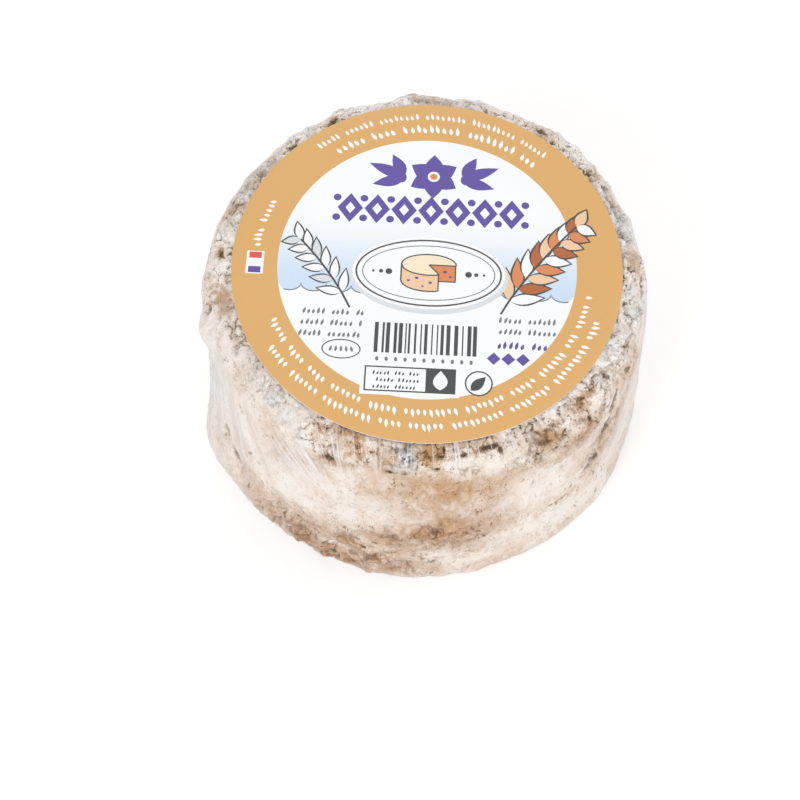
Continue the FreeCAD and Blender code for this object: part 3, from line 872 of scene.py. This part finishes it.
def label_mesh():
    """The paper, cut along every printed outline so that inks have crisp edges, with edge and underside."""
    places, outlines, inks = [], [], []
    for outline, ink in prints:
        start = len(places)
        places += [Vector(p) for p in outline]
        outlines.append(list(range(start, start + len(outline))))
        inks.append(ink)
    steps = np.arange(-18, 19) * MESH_STEP
    grid = [Vector((x, y)) for x in steps for y in steps if math.hypot(x, y) < BEND_START - 0.3]
    cut, _, faces, _, _, sources = delaunay_2d_cdt(places + grid, [], outlines, 1, 1e-5)
    points = [(LABEL_MIDDLE.x + p.x, LABEL_MIDDLE.y + p.y, paper_height(p.x, p.y)) for p in cut]
    tops = [list(face) for face in faces]
    colours = []
    for face, own in zip(tops, sources):
        colours.append([print_colour(inks[max(own)], cut[i].x, cut[i].y) for i in face])
    rim = [i for i, p in enumerate(cut) if p.length > LABEL_RADIUS - 1e-3]
    rim.sort(key=lambda i: math.atan2(cut[i].y, cut[i].x))
    under = []
    for radius in (LABEL_RADIUS, BEND_START, 15.0):
        under.append(len(points))
        for i in rim:
            x, y = cut[i].normalized() * radius
            points.append((LABEL_MIDDLE.x + x, LABEL_MIDDLE.y + y, paper_height(x, y) - PAPER_THICK))
    points.append((LABEL_MIDDLE.x, LABEL_MIDDLE.y, paper_height(0, 0) - PAPER_THICK))
    count = len(rim)
    for k in range(count):
        after = (k + 1) % count
        tops.append([rim[k], under[0] + k, under[0] + after, rim[after]])
        for outer, inner in zip(under, under[1:]):
            tops.append([outer + k, inner + k, inner + after, outer + after])
        tops.append([under[-1] + k, len(points) - 1, under[-1] + after])
    paper = linear(INKS["white"])
    colours += [[paper] * len(face) for face in tops[len(colours):]]
    mesh = bpy.data.meshes.new("label_paper")
    mesh.from_pydata([(x * MM, y * MM, z * MM) for x, y, z in points], [], tops)
    shown = mesh.attributes.new("print", "FLOAT_COLOR", "CORNER")
    shown.data.foreach_set("color", np.array([c for face in colours for c in face], np.float32).ravel())
    mesh.shade_smooth()
    mesh.set_sharp_from_angle(angle=math.radians(40))
    piece = bpy.data.objects.new("label_paper", mesh)
    bpy.context.scene.collection.objects.link(piece)
    return piece


def print_material():
    """Offset print on coated paper: flat, clean colours with a satin sheen and the paper's slight tooth."""
    material = bpy.data.materials.new("offset_printed_coated_paper")
    material.use_nodes = True
    tree = material.node_tree
    tree.nodes.clear()
    place = add(tree, "ShaderNodeTexCoord", {}).outputs["Object"]
    ink = add(tree, "ShaderNodeAttribute", {}, attribute_name="print").outputs["Color"]
    # the paper's tooth is drawn coarser than the real one, which is about a twentieth of a millimetre
    sockets = {"Vector": place, "Scale": 1 / (0.35 * MM), "Detail": 2.0}
    tooth = add(tree, "ShaderNodeTexNoise", sockets).outputs[0]
    sockets = {"Vector": place, "Scale": 1 / (14 * MM), "Detail": 2.0}
    cloud = add(tree, "ShaderNodeTexNoise", sockets).outputs[0]
    shift = add(tree, "ShaderNodeMapRange", {0: cloud, 1: 0.3, 2: 0.7, 3: 0.97, 4: 1.0}).outputs[0]
    colour = add(tree, "ShaderNodeVectorMath", {0: ink, "Scale": shift}, operation="SCALE").outputs[0]
    sockets = {"Strength": 0.12, "Distance": 0.06 * MM, "Height": tooth}
    bump = add(tree, "ShaderNodeBump", sockets).outputs[0]
    face = {"Base Color": colour, "Roughness": 0.42, "IOR": 1.5, "Normal": bump}
    shader = add(tree, "ShaderNodeBsdfPrincipled", face)
    add(tree, "ShaderNodeOutputMaterial", {"Surface": shader.outputs[0]})
    return material


label = label_mesh()
label.data.materials.append(print_material())
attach(label, "root")
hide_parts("label")

# ------------------------------------------------------------------------------------ the studio
# A white table of painted board under a large soft lamp at the left, with weaker ones in front, at the
# right and behind for the film's sheen, in a white room. The camera has a long lens. Here sizes are metres.
TABLE_HALF = 3.0
TABLE_TOP = -0.0001  # a hair under the foot
ROOM_LIGHT = 0.72
table = bpy.data.objects.new("table", bpy.data.meshes.new("table"))
bpy.context.scene.collection.objects.link(table)
corners = [(x * TABLE_HALF, y * TABLE_HALF, TABLE_TOP) for x, y in ((-1, -1), (1, -1), (1, 1), (-1, 1))]
table.data.from_pydata(corners, [], [(0, 1, 2, 3)])
table_paint = bpy.data.materials.new("white_table")
table_paint.use_nodes = True
tree = table_paint.node_tree
tree.nodes.clear()
ray = add(tree, "ShaderNodeLightPath", {}).outputs["Is Camera Ray"]
matt = add(tree, "ShaderNodeBsdfDiffuse", {"Color": linear("#F4F4F4")})
place = add(tree, "ShaderNodeTexCoord", {}).outputs["Object"]
# the board glows a little, and more where it is far from the lamps, so that it stays white to its edge
away = add(tree, "ShaderNodeVectorMath", {0: place}, operation="LENGTH").outputs["Value"]
lift = add(tree, "ShaderNodeMapRange", {0: away, 1: 0.15, 2: 0.9, 3: 0.45, 4: 0.56}).outputs[0]
glow = add(tree, "ShaderNodeEmission", {"Color": (1, 1, 1, 1), "Strength": lift})
pale = add(tree, "ShaderNodeBsdfDiffuse", {"Color": linear("#D2D2D2")})
shown = add(tree, "ShaderNodeAddShader", {0: glow.outputs[0], 1: pale.outputs[0]})
whole = add(tree, "ShaderNodeMixShader", {0: ray, 1: matt.outputs[0], 2: shown.outputs[0]})
add(tree, "ShaderNodeOutputMaterial", {"Surface": whole.outputs[0]})
table.data.materials.append(table_paint)

world = bpy.data.worlds.new("white_room")
bpy.context.scene.world = world
world.use_nodes = True
tree = world.node_tree
tree.nodes.clear()
rays = add(tree, "ShaderNodeLightPath", {}).outputs
sockets = {0: rays["Is Camera Ray"], 1: rays["Is Glossy Ray"]}
seen = add(tree, "ShaderNodeMath", sockets, operation="MAXIMUM").outputs[0]
strength = add(tree, "ShaderNodeMapRange", {0: seen, 3: ROOM_LIGHT, 4: 1.0}).outputs[0]
sky = add(tree, "ShaderNodeBackground", {"Color": (1, 1, 1, 1), "Strength": strength})
add(tree, "ShaderNodeOutputWorld", {"Surface": sky.outputs[0]})


def softbox(name, place, aim, size, watts):
    """A square area lamp, in metres, that faces a point."""
    lamp = bpy.data.lights.new(name, "AREA")
    lamp.shape = "SQUARE"
    lamp.size = size
    lamp.energy = watts
    stand = bpy.data.objects.new(name, lamp)
    stand.location = place
    stand.rotation_euler = (Vector(aim) - Vector(place)).to_track_quat("-Z", "Y").to_euler()
    bpy.context.scene.collection.objects.link(stand)


softbox("key", (-0.45, -0.7, 0.7), (0, 0, 0.03), 0.4, 3.05)
softbox("front_fill", (0.15, -0.95, 0.25), (0, 0, 0.02), 0.5, 0.7)
softbox("right_fill", (0.85, -0.1, 0.35), (0, 0, 0.02), 0.5, 1.8)
softbox("back_fill", (-0.1, 0.9, 0.3), (0, 0, 0.03), 0.5, 1.3)

# the camera looks steeply down from the front, through a long lens, held a little crooked
CAMERA_HIGH, CAMERA_BACK = 0.29174, 0.14744
AIM = Vector((-0.00321, -0.02457, 0.04425))
CAMERA_ROLL = 1.387
camera_data = bpy.data.cameras.new("camera")
camera_data.sensor_width = 36
camera_data.lens = 80.3
camera = bpy.data.objects.new("camera", camera_data)
bpy.context.scene.collection.objects.link(camera)
camera.location = (0, -CAMERA_BACK, CAMERA_HIGH)
look = (AIM - camera.location).to_track_quat("-Z", "Y") @ Quaternion((0, 0, 1), math.radians(CAMERA_ROLL))
camera.rotation_mode = "QUATERNION"
camera.rotation_quaternion = look
bpy.context.scene.camera = camera
bpy.context.scene.view_settings.view_transform = "Standard"
